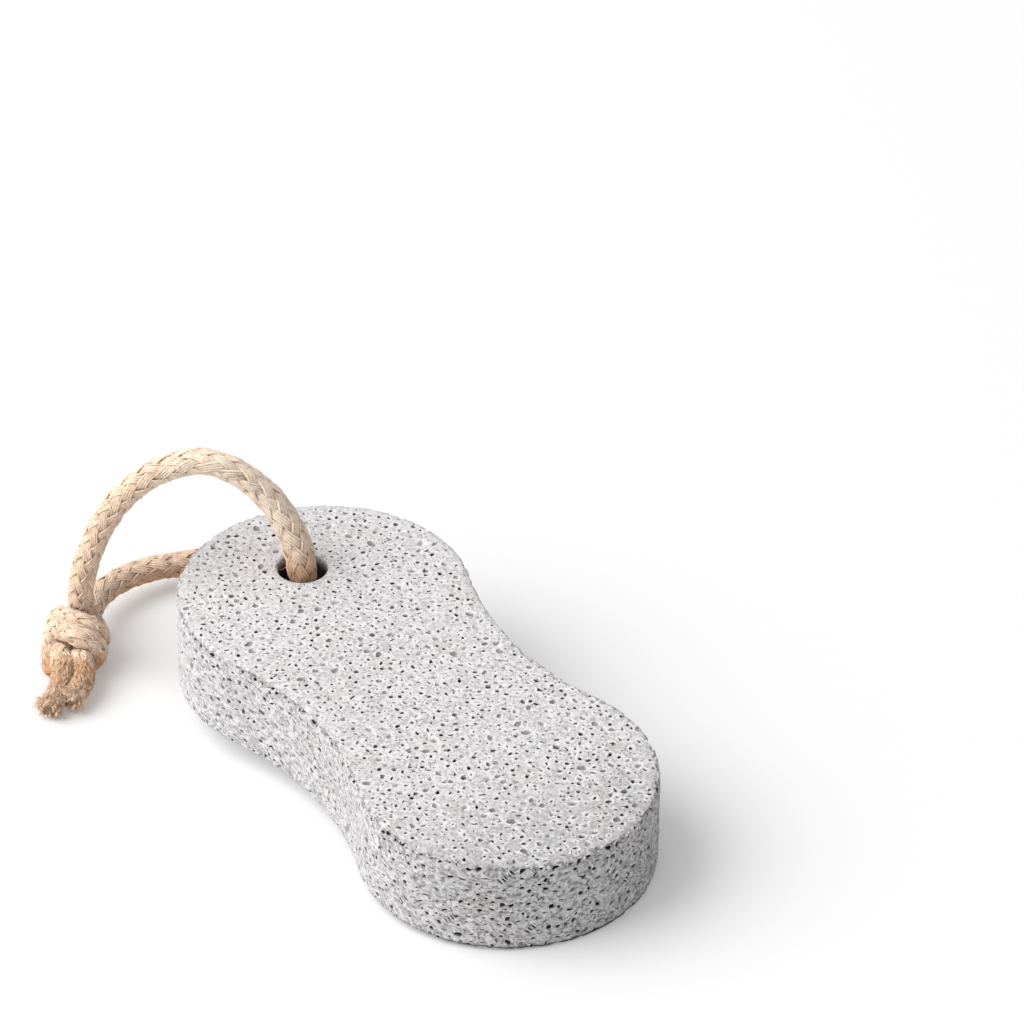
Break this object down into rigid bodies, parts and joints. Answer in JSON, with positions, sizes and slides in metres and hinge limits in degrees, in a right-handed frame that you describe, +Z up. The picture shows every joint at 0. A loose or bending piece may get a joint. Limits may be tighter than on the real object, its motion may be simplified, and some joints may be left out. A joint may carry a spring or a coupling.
{
  "type": "pumice foot stone",
  "caption": "Flat pumice foot stone with two round lobes and a narrow waist, pitted all over, with a braided cord looped through a hole and knotted.",
  "frame": {"origin": "middle of the base of the stone's bounding box as it lies, on the surface that carries it", "axes": "+X along the stone towards the end without the hole, +Y across it, +Z up"},
  "size_m": [0.1207, 0.0647, 0.0415],
  "materials": {
    "pumice": "rough, porous, matte",
    "rope": "braided natural fibre, matte"
  },
  "bodies": {
    "root": {"pumice_stone": "pumice", "rope_loop": "rope", "rope_knot": "rope"}
  },
  "joints": []
}
